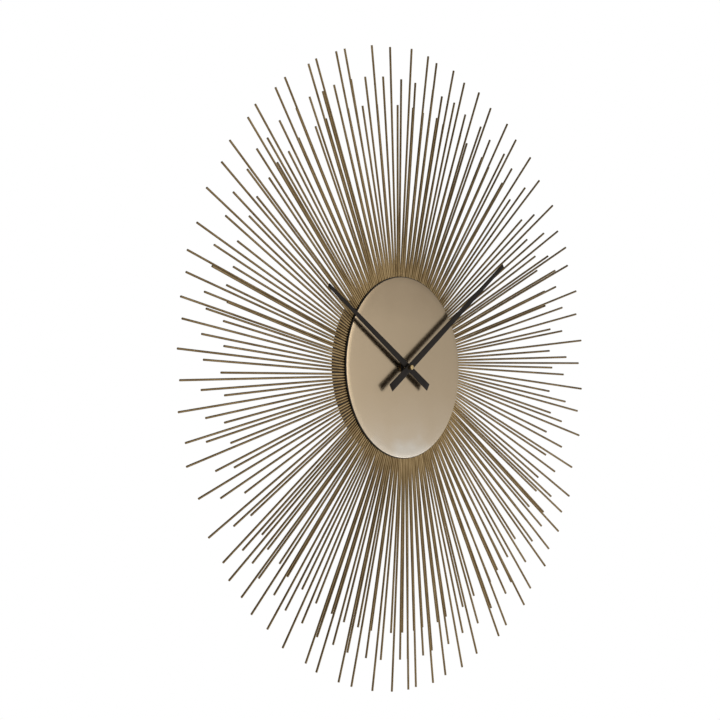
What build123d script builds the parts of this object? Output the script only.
"""Sunburst wall clock: brass rods round a shallow black drum, with a quartz movement inside.

Units are millimetres. The origin is on the dial's axis in the wall plane. +Z is up, the dial
faces -Y, and every "stand-off" is a distance out from the wall, so it is -y.
"""
import os
import random
from math import atan2, cos, degrees, pi, radians, sin, sqrt

from build123d import *

# ---- sunburst -------------------------------------------------------------------------------
rod_d = 3.0                    # drawn brass rod
rods_of_each_length = 75
long_tip_r = 450.0             # reach of the three lengths, from the dial's axis
medium_tip_r = 407.0
short_tip_r = 369.0
foot_gap = 0.287               # between two rods where they are brazed
rod_tail = 2.0                 # length of rod inside that circle
swirl = 4.0                    # mean slant of a rod from the true radius, degrees
drift_share = 1.44             # slow wander of the slant round the ring, in rod spacings
jitter_share = 0.625           # hand-placing error of each rod, in rod spacings either way
crossing_run = 175.0           # length out from the foot at which two rods may cross
lean_back = 0.85               # mean lean of the rods towards the wall, degrees
tilt_drift = 0.45              # slow wander of the fore-and-aft lean, degrees
tail_jitter = 1.5              # how unevenly the inner ends start
hand_seed = 129

# ---- drum -----------------------------------------------------------------------------------
foot_cover = 9.4               # the drum's side stands this far outside the rods' feet
dial_step = 0.9                # and the dial this far inside the drum's side
sheet = 1.5                    # steel sheet of the rear pan
front_sheet = 1.2              # and of the flat plate that carries the dial
rod_gap = 0.4                  # left between the rods and the steel on either side
ring_wide = 15.5
ring_thick = 2.0
braze_inside = 2.8             # width of the braze inside and outside the rods' foot circle
braze_outside = 2.6
back_recess = 2.5              # the back panel sits this far off the wall
dial_thick = 1.0
dial_edge_r = 0.6
window_margin = 8.0            # of the back panel's square window round the movement
window_corner_r = 6.0
keyhole_head_r = 4.5
keyhole_shank_r = 2.3
keyhole_inset = 39.4           # from the drum's side in to the middle of the head hole
keyhole_run = 12.0
post_count = 4
post_start = 45.0
post_inset = 10.4              # from the rod ring's inner edge in to the posts' middles
post_r = 4.0
post_thread_r = 2.0
post_thread_depth = 8.0
post_thread_spare = 1.0        # left in the hole past the screw's end
screw_head_r = 3.8
screw_head_high = 1.9
slot_wide = 1.0
slot_deep = 0.9
thread_gap = 0.05              # between a male thread's solid and its hole

# ---- hands and centre fixings ----------------------------------------------------------------
hand_thick = 1.2
hand_chamfer = 0.25
hour_hand_reach = 203.0
minute_hand_reach = 271.0
hand_tail = 52.0
hour_tail_wide = 10.6
hour_tip_wide = 5.2
minute_tail_wide = 11.2
minute_tip_wide = 5.8
hour_angle = -58.6             # clockwise from twelve
minute_angle = 54.8
hour_hand_clear = 6.9          # from the dial's face to the hour hand's back
hand_spacing = 2.5             # from one hand's back to the other's
hour_tube_proud = 0.6          # the hour wheel's tube stands this far in front of its hand
collet_wall = 1.3
hour_collet_high = 2.0
cap_nut_r = 3.4
cap_nut_high = 3.9
cap_nut_dome = 0.8
cap_nut_skin = 1.0             # metal left in front of its blind hole
cap_nut_hole_spare = 0.4       # left in that hole past the arbor's tip
bush_wall = 1.45
bush_tip_clear = 3.5           # the bush stands this far in front of the dial
bush_shoulder_wide = 1.4
bush_shoulder_high = 0.7
washer_r = 7.5
washer_thick = 0.6
nut_flats = 11.0
nut_high = 2.4
gasket_r = 14.0
gasket_thick = 1.0
hole_gap = 0.3                 # round a part that passes through a hole

# ---- movement case ---------------------------------------------------------------------------
case_wall = 1.5
case_corner_r = 4.0
case_split = 8.0               # depth of the joint between the two shells
bay_divider_wall = 1.2         # between the gears and the battery
bridge_bay_gap = 1.0           # between the bridge's lower edge and that divider
battery_d = 14.5
battery_long = 49.2
battery_edge_r = 0.6
battery_nub_r = 2.7
battery_nub_long = 1.0
battery_play = 0.5             # above and below the battery in its bay
battery_bed_gap = 0.15         # between the battery and the case's front wall
battery_proud = 0.15           # how far the battery stands out of the case's back
contact_thick = 0.4
contact_gap = 0.35             # between the battery and each contact
contact_end_gap = 0.65         # between each contact and the case's side
contact_wide = 8.0
contact_low_depth = 4.0
contact_arm_high = 5.0
contact_arm_deep = 1.2
lead_notch = 3.0               # notches in the divider for the contacts' arms
lead_notch_deep = 1.6

# ---- train -----------------------------------------------------------------------------------
running_gap = 0.05             # radial clearance of every turning pivot
pivot_r = 0.4
arbor_r = 0.6
wheel_thick = 0.8
pinion_long = 1.2
bridge_front = 12.0            # depths are measured back from the case's front face
bridge_thick = 1.0
minute_shaft_r = 1.5
minute_seat_r = 0.9            # seat of the centre wheel on the minute arbor
centre_hub_r = 2.2
centre_hub_long = 1.8
hour_tube_wall = 0.95
hour_wheel_thick = 1.0
motion_hub_r = 2.0
motion_post_r = 0.8
knob_shaft_r = 1.2
knob_pivot_r = 0.6
knob_post_wall = 0.8
knob_post_gap = 0.4            # between the knob's pinion and the post behind it
knob_r = 6.0
knob_high = 2.4
knob_case_gap = 0.4            # between the knob and the case's back
knob_wall_gap = 4.3            # between the knob and the wall
grip_count = 24
grip_r = 0.5
tooth_addendum = 0.85          # tooth proportions, in modules
tooth_dedendum = 1.15
tooth_at_tip = 0.45
tooth_at_pitch = 1.12
tooth_at_root = 1.45

motion_module = 0.35
cannon_teeth = 12
motion_teeth = 36
motion_pinion_teeth = 10
hour_teeth = 40
knob_teeth = 12
third_module = 0.30
centre_teeth = 60
third_pinion_teeth = 8
second_module = 0.25
third_teeth = 64
second_pinion_teeth = 8
second_teeth = 60
step_pinion_teeth = 10
rotor_module = 0.20
step_teeth = 50
rotor_pinion_teeth = 10

motion_heading = -10.0         # headings from one arbor to the next, from +X towards +Z
knob_heading = 20.0
third_heading = 150.0
second_heading = 75.0
step_heading = 0.0
rotor_heading = 0.0

hour_wheel_depth = 2.0         # depths of the layers, from the case's front face
motion_wheel_depth = 3.6
cannon_depth = 3.3
cannon_long = 1.4
centre_wheel_depth = 5.2
third_pinion_depth = 5.0
third_wheel_depth = 7.0
second_pinion_depth = 6.8
second_wheel_depth = 8.8
step_pinion_depth = 8.6
step_wheel_depth = 10.4
rotor_pinion_depth = 10.2
magnet_depth = 6.1
magnet_long = 2.0
magnet_r = 2.7
pivot_long = 0.8
layer_gap = 0.1                # between a turning shoulder and the post below it
arbor_post_r = 1.0
bridge_posts = ((-16.0, -6.5), (-16.0, 22.0), (12.5, 23.4))
bridge_post_r = 1.5
stake_r = 0.7                  # the post's end is staked over the bridge
stake_high = 0.3
bridge_left = -18.0
bridge_right = 14.4
bridge_low = -8.8
bridge_high = 25.6
bridge_corner_r = 2.0

# ---- motor and electronics -------------------------------------------------------------------
lamination = 1.0
stator_depth = 6.6
rotor_gap = 0.5                # between the magnet and the stator's hole
stator_left_reach = 4.4        # of the stator's plate past the rotor
stator_low_reach = 5.2
stator_arm = 2.6
plate_right = 13.8
core_wide = 3.0
core_low_z = -6.5
core_high_z = 21.0
coil_low_z = -2.6
coil_high_z = 17.4
coil_wall_gap = 0.5            # between the bobbin and the case's side
flange_thick = 1.0
flange_r = 3.7
bobbin_r = 2.1
winding_r = 3.4
board_depth = 8.0
board_thick = 0.8
board_wide = 7.8
board_wall_gap = 0.3
board_low_z = -8.0
board_high_z = 24.0
board_post_heights = (-4.5, 21.0)
chip_side = 6.0
chip_high = 1.2
chip_corner_r = 1.4
chip_dome = 0.7
chip_z = 15.0
crystal_r = 1.0
crystal_long = 6.0
crystal_edge_r = 0.3
crystal_z = 2.0

# ---- values that follow from the driving ones --------------------------------------------------
rods_in_all = 3 * rods_of_each_length
rod_pitch = 360.0 / rods_in_all
rod_foot_r = rods_in_all * (rod_d + foot_gap) / (2 * pi * cos(radians(swirl)))
slant_drift = drift_share * rod_pitch
slant_jitter = jitter_share * rod_pitch
weave_tilt = degrees(atan2(rod_d, crossing_run))
drum_r = rod_foot_r + foot_cover
drum_bore_r = drum_r - sheet
dial_r = drum_r - dial_step
ring_bore_r = drum_bore_r - ring_wide
post_circle_r = ring_bore_r - post_inset
keyhole_z = drum_r - keyhole_inset

battery_r = battery_d / 2
half_room = (battery_long + battery_nub_long) / 2 + contact_gap + contact_thick + contact_end_gap
bay_high_z = bridge_low - bridge_bay_gap - bay_divider_wall
bay_low_z = bay_high_z - battery_d - 2 * battery_play
room_middle_z = (half_room + bay_low_z) / 2
room_high = half_room - bay_low_z
room_wide = 2 * half_room
case_deep = case_wall + battery_bed_gap + battery_d - battery_proud
floor_depth = case_deep - case_wall
battery_depth = case_wall + battery_bed_gap + battery_r
battery_z = bay_low_z + battery_play + battery_r
divider_z = bay_high_z + bay_divider_wall / 2
window_over = 2 * (case_wall + window_margin)
knob_front = case_deep + knob_case_gap
knob_end = knob_front + knob_high

panel_front_out = back_recess + sheet
case_front_out = knob_wall_gap + knob_end
case_face_out = case_front_out - case_wall
plate_back_out = case_front_out + gasket_thick
dial_back_out = plate_back_out + front_sheet
rod_axis_out = plate_back_out - rod_gap - rod_d / 2
rods_back_out = rod_axis_out - rod_d / 2 - rod_gap
dial_face_out = dial_back_out + dial_thick
hour_hand_out = dial_face_out + hour_hand_clear
minute_hand_out = hour_hand_out + hand_spacing
cap_nut_out = minute_hand_out + hand_thick
cap_nut_bore_long = cap_nut_high - cap_nut_skin
bush_tip_out = dial_face_out + bush_tip_clear

hour_tube_bore = minute_shaft_r + running_gap
hour_tube_r = hour_tube_bore + hour_tube_wall
bush_bore = hour_tube_r + running_gap
bush_r = bush_bore + bush_wall
bush_shoulder_r = bush_r + bush_shoulder_wide

coil_x = half_room - coil_wall_gap - flange_r
board_x = board_wall_gap + board_wide / 2 - half_room

os.makedirs("parts", exist_ok=True)


def out(stand_off):
    """The plane at this distance from the wall, facing the viewer."""
    return Plane.XZ.offset(stand_off)


def inside(depth):
    """The plane at this depth behind the movement's front face, facing back."""
    return Plane(origin=(0, depth - case_front_out, 0), x_dir=(-1, 0, 0), z_dir=(0, 1, 0))


def at(spot):
    """A place on an inside() plane, whose x runs to the left, given as (x, z)."""
    return Locations((-spot[0], spot[1]))


def step_from(spot, reach, heading):
    """(x, z) at a distance and heading, counted anticlockwise from +X as seen from the front."""
    return (spot[0] + reach * cos(radians(heading)), spot[1] + reach * sin(radians(heading)))


def finish(part, name):
    """Labels a finished piece and writes its file."""
    part.label = name
    export_step(part, f"parts/{name}.step")


# ---- drum: rear pan, rod ring, front pan, posts -------------------------------------------------
def drum_wall(start, end):
    """Adds a rolled side wall between two stand-offs."""
    with BuildSketch(out(start)) as section:
        Circle(drum_r)
        Circle(drum_bore_r, mode=Mode.SUBTRACT)
    extrude(section.sketch, amount=end - start)


with BuildPart() as rear_pan:
    drum_wall(0, rods_back_out)
    with BuildSketch(out(back_recess)):
        Circle(drum_bore_r)
        with Locations((0, room_middle_z)):
            RectangleRounded(
                room_wide + window_over, room_high + window_over, window_corner_r, mode=Mode.SUBTRACT
            )
        with PolarLocations(post_circle_r, post_count, start_angle=post_start):
            Circle(post_thread_r + hole_gap, mode=Mode.SUBTRACT)
        with Locations((0, keyhole_z)):
            Circle(keyhole_head_r, mode=Mode.SUBTRACT)
        with Locations((0, keyhole_z + keyhole_run / 2)):
            SlotCenterToCenter(keyhole_run, 2 * keyhole_shank_r, rotation=90, mode=Mode.SUBTRACT)
    extrude(amount=sheet)
finish(rear_pan.part, "rear_pan")

with BuildPart() as rod_ring:
    with BuildSketch(out(rods_back_out - ring_thick)):
        Circle(drum_bore_r)
        Circle(ring_bore_r, mode=Mode.SUBTRACT)
    extrude(amount=ring_thick)
finish(rod_ring.part, "rod_ring")

with BuildPart() as braze_ring:
    with BuildSketch(out(rods_back_out)):
        Circle(rod_foot_r + braze_outside)
        Circle(rod_foot_r - braze_inside, mode=Mode.SUBTRACT)
    extrude(amount=rod_axis_out + rod_d / 2 - rods_back_out)
finish(braze_ring.part, "braze_ring")

with BuildPart() as front_plate:
    with BuildSketch(out(plate_back_out)):
        Circle(drum_r)
        Circle(bush_r + hole_gap, mode=Mode.SUBTRACT)
    extrude(amount=front_sheet)
    rim = front_plate.edges().filter_by(GeomType.CIRCLE).group_by(Axis.Y)[0].sort_by(SortBy.RADIUS)[-1]
    fillet(rim, front_sheet / 2)
finish(front_plate.part, "front_plate")

with BuildPart() as dial:
    with BuildSketch(out(dial_back_out)):
        Circle(dial_r)
        Circle(bush_r + hole_gap, mode=Mode.SUBTRACT)
    extrude(amount=dial_thick)
    rim = dial.edges().filter_by(GeomType.CIRCLE).group_by(Axis.Y)[0].sort_by(SortBy.RADIUS)[-1]
    fillet(rim, dial_edge_r)
finish(dial.part, "dial")

with BuildPart() as spacer_posts:
    with BuildSketch(out(panel_front_out)):
        with PolarLocations(post_circle_r, post_count, start_angle=post_start):
            Circle(post_r)
    extrude(amount=plate_back_out - panel_front_out)
    with BuildSketch(out(panel_front_out)):
        with PolarLocations(post_circle_r, post_count, start_angle=post_start):
            Circle(post_thread_r + thread_gap)
    extrude(amount=post_thread_depth, mode=Mode.SUBTRACT)
finish(spacer_posts.part, "spacer_posts")

with BuildPart() as post_screws:
    with BuildSketch(out(back_recess - screw_head_high)):
        with PolarLocations(post_circle_r, post_count, start_angle=post_start):
            Circle(screw_head_r)
    extrude(amount=screw_head_high)
    with BuildSketch(out(back_recess)):
        with PolarLocations(post_circle_r, post_count, start_angle=post_start):
            Circle(post_thread_r)
    extrude(amount=sheet + post_thread_depth - post_thread_spare)
    with BuildSketch(out(back_recess - screw_head_high)):
        with PolarLocations(post_circle_r, post_count, start_angle=post_start):
            Rectangle(2 * screw_head_r, slot_wide)
            Rectangle(slot_wide, 2 * screw_head_r)
    extrude(amount=slot_deep, mode=Mode.SUBTRACT)
finish(post_screws.part, "post_screws")

# ---- rods ---------------------------------------------------------------------------------------
# The rods stand side by side on one circle, in the order short, medium, long, going clockwise.
# Each is brazed by hand, so it slants a little differently from its neighbours. They lean out and
# in by turns, so that two which cross pass clear; with an odd count the last leans out further.
hand = random.Random(hand_seed)
rod_planes = {"short": [], "medium": [], "long": []}
for number in range(rods_in_all):
    length_name = ("short", "medium", "long")[number % 3]
    turn = 2 * pi * number / rods_in_all
    slant = swirl + slant_drift * (0.6 * sin(7 * turn + 1) + 0.4 * sin(13 * turn + 2))
    slant += hand.uniform(-slant_jitter, slant_jitter)
    weave = 0.5 if number % 2 == 0 else -0.5
    if number % 2 == 0 and number == rods_in_all - 1:
        weave = 1.5
    tilt = weave * weave_tilt - lean_back
    tilt += tilt_drift * (0.6 * sin(5 * turn + 3) + 0.4 * sin(11 * turn))
    tail = rod_tail - hand.uniform(0, tail_jitter)
    bearing = number * rod_pitch
    foot = Vector(rod_foot_r * sin(turn), -rod_axis_out, rod_foot_r * cos(turn))
    heading = radians(bearing + slant)
    along = Vector(
        sin(heading) * cos(radians(tilt)), -sin(radians(tilt)), cos(heading) * cos(radians(tilt))
    )
    rod_planes[length_name].append(Plane(origin=foot - along * tail, z_dir=along))


def rod_length(tip_r):
    """The cut length that brings a rod of mean slant out to this radius."""
    side = rod_foot_r * sin(radians(swirl))
    return sqrt(tip_r**2 - side**2) - rod_foot_r * cos(radians(swirl)) + rod_tail


for length_name, tip_r in (("short", short_tip_r), ("medium", medium_tip_r), ("long", long_tip_r)):
    with BuildPart() as rods:
        for plane in rod_planes[length_name]:
            with BuildSketch(plane):
                Circle(rod_d / 2)
        extrude(amount=rod_length(tip_r))
    finish(rods.part, f"{length_name}_rods")


# ---- hands --------------------------------------------------------------------------------------
def hand_blank(stand_off, bearing, reach, tail_wide, tip_wide, hole_r):
    """Adds a flat tapered hand with square-cut ends, blanked from sheet."""
    corners = (
        (-tail_wide / 2, -hand_tail),
        (tail_wide / 2, -hand_tail),
        (tip_wide / 2, reach),
        (-tip_wide / 2, reach),
    )
    with BuildSketch(out(stand_off)) as section:
        Polygon(*corners, rotation=-bearing, align=None)
        Circle(hole_r, mode=Mode.SUBTRACT)
    extrude(section.sketch, amount=hand_thick)


with BuildPart() as hour_hand:
    hand_blank(
        hour_hand_out, hour_angle, hour_hand_reach, hour_tail_wide, hour_tip_wide, hour_tube_r
    )
    front = hour_hand.faces().sort_by(Axis.Y)[0]
    chamfer(front.outer_wire().edges(), hand_chamfer)
finish(hour_hand.part, "hour_hand")

with BuildPart() as hour_collet:
    with BuildSketch(out(hour_hand_out - hour_collet_high)):
        Circle(hour_tube_r + collet_wall)
        Circle(hour_tube_r, mode=Mode.SUBTRACT)
    extrude(amount=hour_collet_high)
finish(hour_collet.part, "hour_collet")

with BuildPart() as minute_hand:
    hand_blank(
        minute_hand_out,
        minute_angle,
        minute_hand_reach,
        minute_tail_wide,
        minute_tip_wide,
        minute_shaft_r,
    )
    front = minute_hand.faces().sort_by(Axis.Y)[0]
    chamfer(front.outer_wire().edges(), hand_chamfer)
finish(minute_hand.part, "minute_hand")

with BuildPart() as cap_nut:
    with BuildSketch(out(cap_nut_out)):
        Circle(cap_nut_r)
    extrude(amount=cap_nut_high)
    fillet(cap_nut.edges().group_by(Axis.Y)[0], cap_nut_dome)
    with BuildSketch(out(cap_nut_out)):
        Circle(minute_shaft_r + thread_gap)
    extrude(amount=cap_nut_bore_long, mode=Mode.SUBTRACT)
finish(cap_nut.part, "cap_nut")

# ---- centre fixings -----------------------------------------------------------------------------
with BuildPart() as centre_bush:
    with BuildSketch(out(case_face_out)):
        Circle(bush_r)
    extrude(amount=bush_tip_out - case_face_out)
    with BuildSketch(out(case_front_out)):
        Circle(bush_shoulder_r)
    extrude(amount=bush_shoulder_high)
    with BuildSketch(out(case_face_out)):
        Circle(bush_bore)
    extrude(amount=bush_tip_out - case_face_out, mode=Mode.SUBTRACT)
finish(centre_bush.part, "centre_bush")

with BuildPart() as rubber_gasket:
    with BuildSketch(out(case_front_out)):
        Circle(gasket_r)
        Circle(bush_shoulder_r + hole_gap, mode=Mode.SUBTRACT)
    extrude(amount=gasket_thick)
finish(rubber_gasket.part, "rubber_gasket")

with BuildPart() as washer:
    with BuildSketch(out(dial_face_out)):
        Circle(washer_r)
        Circle(bush_r + thread_gap, mode=Mode.SUBTRACT)
    extrude(amount=washer_thick)
finish(washer.part, "washer")

with BuildPart() as fixing_nut:
    with BuildSketch(out(dial_face_out + washer_thick)):
        RegularPolygon(nut_flats / 2, 6, major_radius=False)
        Circle(bush_r + thread_gap, mode=Mode.SUBTRACT)
    extrude(amount=nut_high)
finish(fixing_nut.part, "fixing_nut")


# ---- toothed wheels -----------------------------------------------------------------------------
def pitch_radius(teeth, module):
    return teeth * module / 2


def toothed_outline(teeth, module, phase):
    """The corners of a toothed disc on an inside() plane, whose x runs left. The phase is the
    heading of a tooth's middle, in radians anticlockwise from +X as seen from the front."""
    pitch_r = pitch_radius(teeth, module)
    tip_r = pitch_r + tooth_addendum * module
    root_r = pitch_r - tooth_dedendum * module
    half_tip = tooth_at_tip * module / tip_r / 2
    half_pitch = tooth_at_pitch * module / pitch_r / 2
    half_root = tooth_at_root * module / root_r / 2
    outline = []
    for tooth in range(teeth):
        middle = phase + 2 * pi * tooth / teeth
        for radius, offset in (
            (root_r, -half_root),
            (pitch_r, -half_pitch),
            (tip_r, -half_tip),
            (tip_r, half_tip),
            (pitch_r, half_pitch),
            (root_r, half_root),
        ):
            outline.append((-radius * cos(middle + offset), radius * sin(middle + offset)))
    return outline


def meshed_phase(driver_teeth, driver_phase, teeth, line):
    """The phase that puts a gap of the second wheel on the driver's tooth, along their line."""
    driver_part = (line - driver_phase) * driver_teeth / (2 * pi)
    return line + pi - (0.5 - driver_part) * 2 * pi / teeth


def wheel(spot, depth, thick, teeth, module, phase):
    """Adds a toothed disc at a depth behind the movement's front face."""
    with BuildSketch(inside(depth)) as section:
        with at(spot):
            Polygon(*toothed_outline(teeth, module, phase), align=None)
    extrude(section.sketch, amount=thick)


def rod(spot, depth, end, radius, mode=Mode.ADD):
    """Adds or cuts a round bar between two depths."""
    with BuildSketch(inside(depth)) as section:
        with at(spot):
            Circle(radius)
    extrude(section.sketch, amount=end - depth, mode=mode)


def line_of(start, end):
    """Heading from one arbor to another, in radians."""
    return atan2(end[1] - start[1], end[0] - start[0])


# Arbor places. Each distance is the sum of the pitch radii of the pair in mesh.
centre_spot = (0.0, 0.0)
motion_reach = pitch_radius(cannon_teeth, motion_module) + pitch_radius(motion_teeth, motion_module)
hour_module = 2 * motion_reach / (hour_teeth + motion_pinion_teeth)
motion_spot = step_from(centre_spot, motion_reach, motion_heading)
knob_reach = pitch_radius(motion_teeth, motion_module) + pitch_radius(knob_teeth, motion_module)
knob_spot = step_from(motion_spot, knob_reach, knob_heading)
third_reach = pitch_radius(centre_teeth + third_pinion_teeth, third_module)
third_spot = step_from(centre_spot, third_reach, third_heading)
second_reach = pitch_radius(third_teeth + second_pinion_teeth, second_module)
second_spot = step_from(third_spot, second_reach, second_heading)
step_reach = pitch_radius(second_teeth + step_pinion_teeth, second_module)
step_spot = step_from(second_spot, step_reach, step_heading)
rotor_reach = pitch_radius(step_teeth + rotor_pinion_teeth, rotor_module)
rotor_spot = step_from(step_spot, rotor_reach, rotor_heading)

# Phases, found along the train from the minute arbor outwards.
cannon_phase = 0.0
motion_phase = meshed_phase(cannon_teeth, cannon_phase, motion_teeth, line_of(centre_spot, motion_spot))
hour_phase = meshed_phase(motion_pinion_teeth, motion_phase, hour_teeth, line_of(motion_spot, centre_spot))
knob_phase = meshed_phase(motion_teeth, motion_phase, knob_teeth, line_of(motion_spot, knob_spot))
third_phase = meshed_phase(centre_teeth, cannon_phase, third_pinion_teeth, line_of(centre_spot, third_spot))
second_phase = meshed_phase(third_teeth, third_phase, second_pinion_teeth, line_of(third_spot, second_spot))
step_phase = meshed_phase(second_teeth, second_phase, step_pinion_teeth, line_of(second_spot, step_spot))
rotor_phase = meshed_phase(step_teeth, step_phase, rotor_pinion_teeth, line_of(step_spot, rotor_spot))

minute_tip_depth = case_front_out - (cap_nut_out + cap_nut_bore_long - cap_nut_hole_spare)
cannon_end = cannon_depth + cannon_long
with BuildPart() as minute_arbor:
    rod(centre_spot, minute_tip_depth, cannon_depth, minute_shaft_r)
    wheel(centre_spot, cannon_depth, cannon_long, cannon_teeth, motion_module, cannon_phase)
    rod(centre_spot, cannon_end, bridge_front - layer_gap, minute_seat_r)
    rod(centre_spot, bridge_front - layer_gap, bridge_front + pivot_long, pivot_r)
finish(minute_arbor.part, "minute_arbor")

centre_hub_end = centre_wheel_depth + centre_hub_long
with BuildPart() as centre_wheel:
    wheel(centre_spot, centre_wheel_depth, wheel_thick, centre_teeth, third_module, cannon_phase)
    rod(centre_spot, centre_wheel_depth, centre_hub_end, centre_hub_r)
    rod(centre_spot, centre_wheel_depth, centre_hub_end, minute_seat_r, Mode.SUBTRACT)
finish(centre_wheel.part, "centre_wheel")

hour_tip_depth = case_front_out - (hour_hand_out + hand_thick + hour_tube_proud)
hour_wheel_end = hour_wheel_depth + hour_wheel_thick
with BuildPart() as hour_wheel:
    wheel(centre_spot, hour_wheel_depth, hour_wheel_thick, hour_teeth, hour_module, hour_phase)
    rod(centre_spot, hour_tip_depth, hour_wheel_depth, hour_tube_r)
    rod(centre_spot, hour_tip_depth, hour_wheel_end, hour_tube_bore, Mode.SUBTRACT)
finish(hour_wheel.part, "hour_wheel")

motion_pinion_end = hour_wheel_depth + pinion_long
with BuildPart() as motion_wheel:
    wheel(motion_spot, hour_wheel_depth, pinion_long, motion_pinion_teeth, hour_module, motion_phase)
    rod(motion_spot, motion_pinion_end, motion_wheel_depth, motion_hub_r)
    wheel(motion_spot, motion_wheel_depth, wheel_thick, motion_teeth, motion_module, motion_phase)
    rod(
        motion_spot,
        hour_wheel_depth,
        motion_wheel_depth + wheel_thick,
        motion_post_r + running_gap,
        Mode.SUBTRACT,
    )
finish(motion_wheel.part, "motion_wheel")


def train_arbor(
    spot, pinion_depth, pinion_teeth, pinion_module, wheel_depth, wheel_teeth, wheel_module, phase
):
    """One moulded wheel, pinion and arbor, with a pivot at each end."""
    rod(spot, pinion_depth - pivot_long, pinion_depth, pivot_r)
    wheel(spot, pinion_depth, pinion_long, pinion_teeth, pinion_module, phase)
    rod(spot, pinion_depth + pinion_long, bridge_front - layer_gap, arbor_r)
    wheel(spot, wheel_depth, wheel_thick, wheel_teeth, wheel_module, phase)
    rod(spot, bridge_front - layer_gap, bridge_front + pivot_long, pivot_r)


with BuildPart() as third_wheel:
    train_arbor(
        third_spot,
        third_pinion_depth,
        third_pinion_teeth,
        third_module,
        third_wheel_depth,
        third_teeth,
        second_module,
        third_phase,
    )
finish(third_wheel.part, "third_wheel")

with BuildPart() as second_wheel:
    train_arbor(
        second_spot,
        second_pinion_depth,
        second_pinion_teeth,
        second_module,
        second_wheel_depth,
        second_teeth,
        second_module,
        second_phase,
    )
finish(second_wheel.part, "second_wheel")

with BuildPart() as step_wheel:
    train_arbor(
        step_spot,
        step_pinion_depth,
        step_pinion_teeth,
        second_module,
        step_wheel_depth,
        step_teeth,
        rotor_module,
        step_phase,
    )
finish(step_wheel.part, "step_wheel")

magnet_end = magnet_depth + magnet_long
with BuildPart() as rotor_pinion:
    rod(rotor_spot, magnet_depth - 2 * pivot_long, magnet_depth - pivot_long, pivot_r)
    rod(rotor_spot, magnet_depth - pivot_long, rotor_pinion_depth, arbor_r)
    wheel(rotor_spot, rotor_pinion_depth, pinion_long, rotor_pinion_teeth, rotor_module, rotor_phase)
    rod(rotor_spot, rotor_pinion_depth + pinion_long, bridge_front - layer_gap, arbor_r)
    rod(rotor_spot, bridge_front - layer_gap, bridge_front + pivot_long, pivot_r)
finish(rotor_pinion.part, "rotor_pinion")

with BuildPart() as rotor_magnet:
    rod(rotor_spot, magnet_depth, magnet_end, magnet_r)
    rod(rotor_spot, magnet_depth, magnet_end, arbor_r, Mode.SUBTRACT)
finish(rotor_magnet.part, "rotor_magnet")

knob_post_end = cannon_depth - knob_post_gap
with BuildPart() as setting_knob:
    rod(knob_spot, knob_post_end - pivot_long, cannon_depth, knob_pivot_r)
    wheel(knob_spot, cannon_depth, cannon_long, knob_teeth, motion_module, knob_phase)
    rod(knob_spot, cannon_end, knob_front, knob_shaft_r)
    rod(knob_spot, knob_front, knob_end, knob_r)
    with BuildSketch(inside(knob_front)):
        with at(knob_spot):
            with PolarLocations(knob_r, grip_count):
                Circle(grip_r)
    extrude(amount=knob_high, mode=Mode.SUBTRACT)
finish(setting_knob.part, "setting_knob")

# ---- movement case and bridge -------------------------------------------------------------------
bridge_end = bridge_front + bridge_thick
train_posts = (
    (third_spot, third_pinion_depth),
    (second_spot, second_pinion_depth),
    (step_spot, step_pinion_depth),
    (rotor_spot, magnet_depth - pivot_long),
)


def case_shell(front, back, floor_front, floor_back):
    """Adds a shell between two depths, closed by a floor between two others."""
    with BuildSketch(inside(front)) as walls:
        with at((0, room_middle_z)):
            RectangleRounded(room_wide + 2 * case_wall, room_high + 2 * case_wall, case_corner_r)
            RectangleRounded(room_wide, room_high, case_corner_r - case_wall, mode=Mode.SUBTRACT)
    extrude(walls.sketch, amount=back - front)
    with BuildSketch(inside(floor_front)) as floor:
        with at((0, room_middle_z)):
            RectangleRounded(room_wide, room_high, case_corner_r - case_wall)
    extrude(floor.sketch, amount=floor_back - floor_front)


with BuildPart() as front_case:
    case_shell(0, case_split, 0, case_wall)
    rod(motion_spot, case_wall, centre_wheel_depth - 2 * layer_gap, motion_post_r)
    rod(knob_spot, case_wall, knob_post_end, knob_pivot_r + knob_post_wall)
    for spot in bridge_posts:
        rod(spot, case_wall, bridge_front, bridge_post_r)
        rod(spot, bridge_front, bridge_end + stake_high, stake_r)
    for height in board_post_heights:
        rod((board_x, height), case_wall, board_depth, arbor_post_r)
    for spot, shoulder in train_posts:
        rod(spot, case_wall, shoulder - layer_gap, arbor_post_r)
        rod(spot, shoulder - pivot_long - layer_gap, shoulder, pivot_r + running_gap, Mode.SUBTRACT)
    rod(
        knob_spot,
        knob_post_end - pivot_long - layer_gap,
        knob_post_end,
        knob_pivot_r + running_gap,
        Mode.SUBTRACT,
    )
    rod(centre_spot, 0, case_wall, bush_r, Mode.SUBTRACT)
finish(front_case.part, "front_case")

with BuildPart() as rear_case:
    case_shell(case_split, case_deep, floor_depth, case_deep)
    with BuildSketch(inside(case_wall + layer_gap)):
        with at((0, divider_z)):
            Rectangle(room_wide, bay_divider_wall)
    extrude(amount=floor_depth - case_wall - layer_gap)
    with BuildSketch(inside(floor_depth)):
        with at((0, battery_z)):
            Rectangle(room_wide, battery_d + 2 * battery_play)
    extrude(amount=case_wall, mode=Mode.SUBTRACT)
    with BuildSketch(inside(floor_depth - lead_notch_deep)):
        for side in (-1, 1):
            with at((side * (half_room - lead_notch / 2), divider_z)):
                Rectangle(lead_notch, bay_divider_wall)
    extrude(amount=lead_notch_deep, mode=Mode.SUBTRACT)
    rod(knob_spot, floor_depth, case_deep, knob_shaft_r + hole_gap, Mode.SUBTRACT)
finish(rear_case.part, "rear_case")

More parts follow.
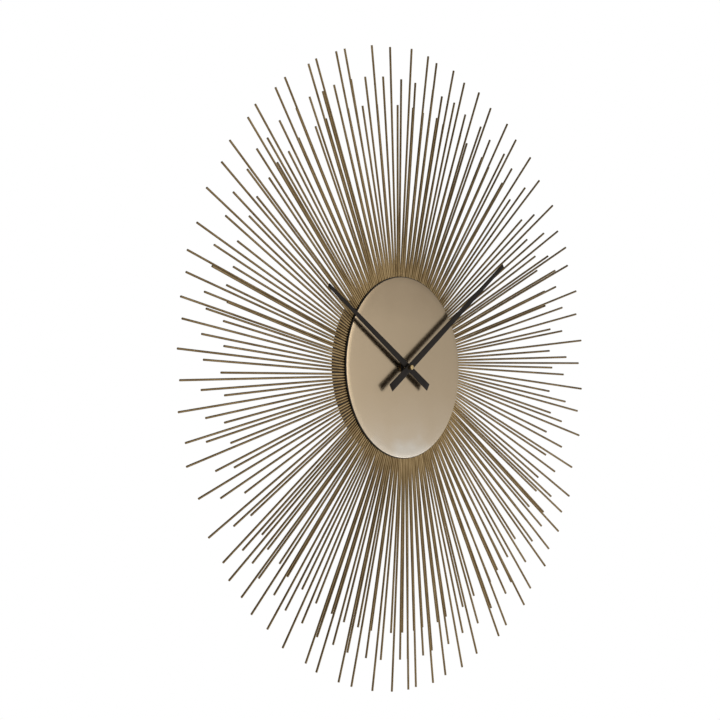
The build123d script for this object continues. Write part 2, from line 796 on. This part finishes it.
with BuildPart() as gear_bridge:
    with BuildSketch(inside(bridge_front)):
        with at(((bridge_left + bridge_right) / 2, (bridge_low + bridge_high) / 2)):
            RectangleRounded(bridge_right - bridge_left, bridge_high - bridge_low, bridge_corner_r)
    extrude(amount=bridge_thick)
    for spot in bridge_posts:
        rod(spot, bridge_front, bridge_end, stake_r, Mode.SUBTRACT)
    for spot in (centre_spot, third_spot, second_spot, step_spot, rotor_spot):
        rod(spot, bridge_front, bridge_end, pivot_r + running_gap, Mode.SUBTRACT)
finish(gear_bridge.part, "gear_bridge")

# ---- motor: stator, coil -------------------------------------------------------------------------
plate_left = rotor_spot[0] - stator_left_reach
plate_low = rotor_spot[1] - stator_low_reach
stator_right = coil_x + core_wide / 2
with BuildPart() as stator:
    with BuildSketch(inside(stator_depth)):
        with BuildLine():
            Polyline(
                (-plate_left, core_high_z),
                (-stator_right, core_high_z),
                (-stator_right, core_high_z - stator_arm),
                (-plate_right, core_high_z - stator_arm),
                (-plate_right, core_low_z + stator_arm),
                (-stator_right, core_low_z + stator_arm),
                (-stator_right, core_low_z),
                (-(plate_right - stator_arm), core_low_z),
                (-(plate_right - stator_arm), plate_low),
                (-plate_left, plate_low),
                close=True,
            )
        make_face()
        with at(rotor_spot):
            Circle(magnet_r + rotor_gap, mode=Mode.SUBTRACT)
    extrude(amount=lamination)
finish(stator.part, "stator")

core_depth = stator_depth + lamination
with BuildPart() as coil_core:
    with BuildSketch(inside(core_depth)):
        with at((coil_x, (core_low_z + core_high_z) / 2)):
            Rectangle(core_wide, core_high_z - core_low_z)
    extrude(amount=lamination)
finish(coil_core.part, "coil_core")

coil_y = core_depth + lamination / 2 - case_front_out


def coil_plane(z):
    """The plane across the coil at a height."""
    return Plane(origin=(coil_x, coil_y, z))


with BuildPart() as coil_bobbin:
    with BuildSketch(coil_plane(coil_low_z)):
        Circle(bobbin_r)
    extrude(amount=coil_high_z - coil_low_z)
    for low in (coil_low_z, coil_high_z - flange_thick):
        with BuildSketch(coil_plane(low)):
            Circle(flange_r)
        extrude(amount=flange_thick)
    with BuildSketch(coil_plane(coil_low_z)):
        Rectangle(core_wide, lamination)
    extrude(amount=coil_high_z - coil_low_z, mode=Mode.SUBTRACT)
finish(coil_bobbin.part, "coil_bobbin")

with BuildPart() as coil_winding:
    with BuildSketch(coil_plane(coil_low_z + flange_thick)):
        Circle(winding_r)
        Circle(bobbin_r, mode=Mode.SUBTRACT)
    extrude(amount=coil_high_z - coil_low_z - 2 * flange_thick)
finish(coil_winding.part, "coil_winding")

# ---- electronics ---------------------------------------------------------------------------------
with BuildPart() as circuit_board:
    with BuildSketch(inside(board_depth)):
        with at((board_x, (board_low_z + board_high_z) / 2)):
            Rectangle(board_wide, board_high_z - board_low_z)
    extrude(amount=board_thick)
finish(circuit_board.part, "circuit_board")

with BuildPart() as driver_chip:
    with BuildSketch(inside(board_depth + board_thick)):
        with at((board_x, chip_z)):
            RectangleRounded(chip_side, chip_side, chip_corner_r)
    extrude(amount=chip_high)
    fillet(driver_chip.faces().sort_by(Axis.Y)[-1].edges(), chip_dome)
finish(driver_chip.part, "driver_chip")

crystal_y = board_depth + board_thick + crystal_r - case_front_out
with BuildPart() as crystal_can:
    with BuildSketch(Plane(origin=(board_x, crystal_y, crystal_z))):
        Circle(crystal_r)
    extrude(amount=crystal_long)
    fillet(crystal_can.edges().group_by(Axis.Z)[-1], crystal_edge_r)
finish(crystal_can.part, "crystal_can")

# ---- battery and contacts ------------------------------------------------------------------------
battery_y = battery_depth - case_front_out
battery_start_x = -(battery_long + battery_nub_long) / 2
with BuildPart() as battery:
    with BuildSketch(Plane(origin=(battery_start_x, battery_y, battery_z), z_dir=(1, 0, 0))):
        Circle(battery_r)
    extrude(amount=battery_long)
    fillet(battery.edges().filter_by(GeomType.CIRCLE), battery_edge_r)
    with BuildSketch(
        Plane(origin=(battery_start_x + battery_long, battery_y, battery_z), z_dir=(1, 0, 0))
    ):
        Circle(battery_nub_r)
    extrude(amount=battery_nub_long)
finish(battery.part, "battery")

contact_x = (battery_long + battery_nub_long) / 2 + contact_gap + contact_thick / 2
arm_depth = floor_depth - lead_notch_deep + 2 * layer_gap
for name, side in (("positive_contact", 1), ("negative_contact", -1)):
    with BuildPart() as contact:
        with BuildSketch(inside(contact_low_depth)):
            with at((side * contact_x, battery_z)):
                Rectangle(contact_thick, contact_wide)
        extrude(amount=floor_depth - contact_low_depth - layer_gap)
        with BuildSketch(inside(arm_depth)):
            with at((side * contact_x, battery_z + contact_arm_high)):
                Rectangle(contact_thick, 3 * contact_arm_high)
        extrude(amount=contact_arm_deep)
    finish(contact.part, name)
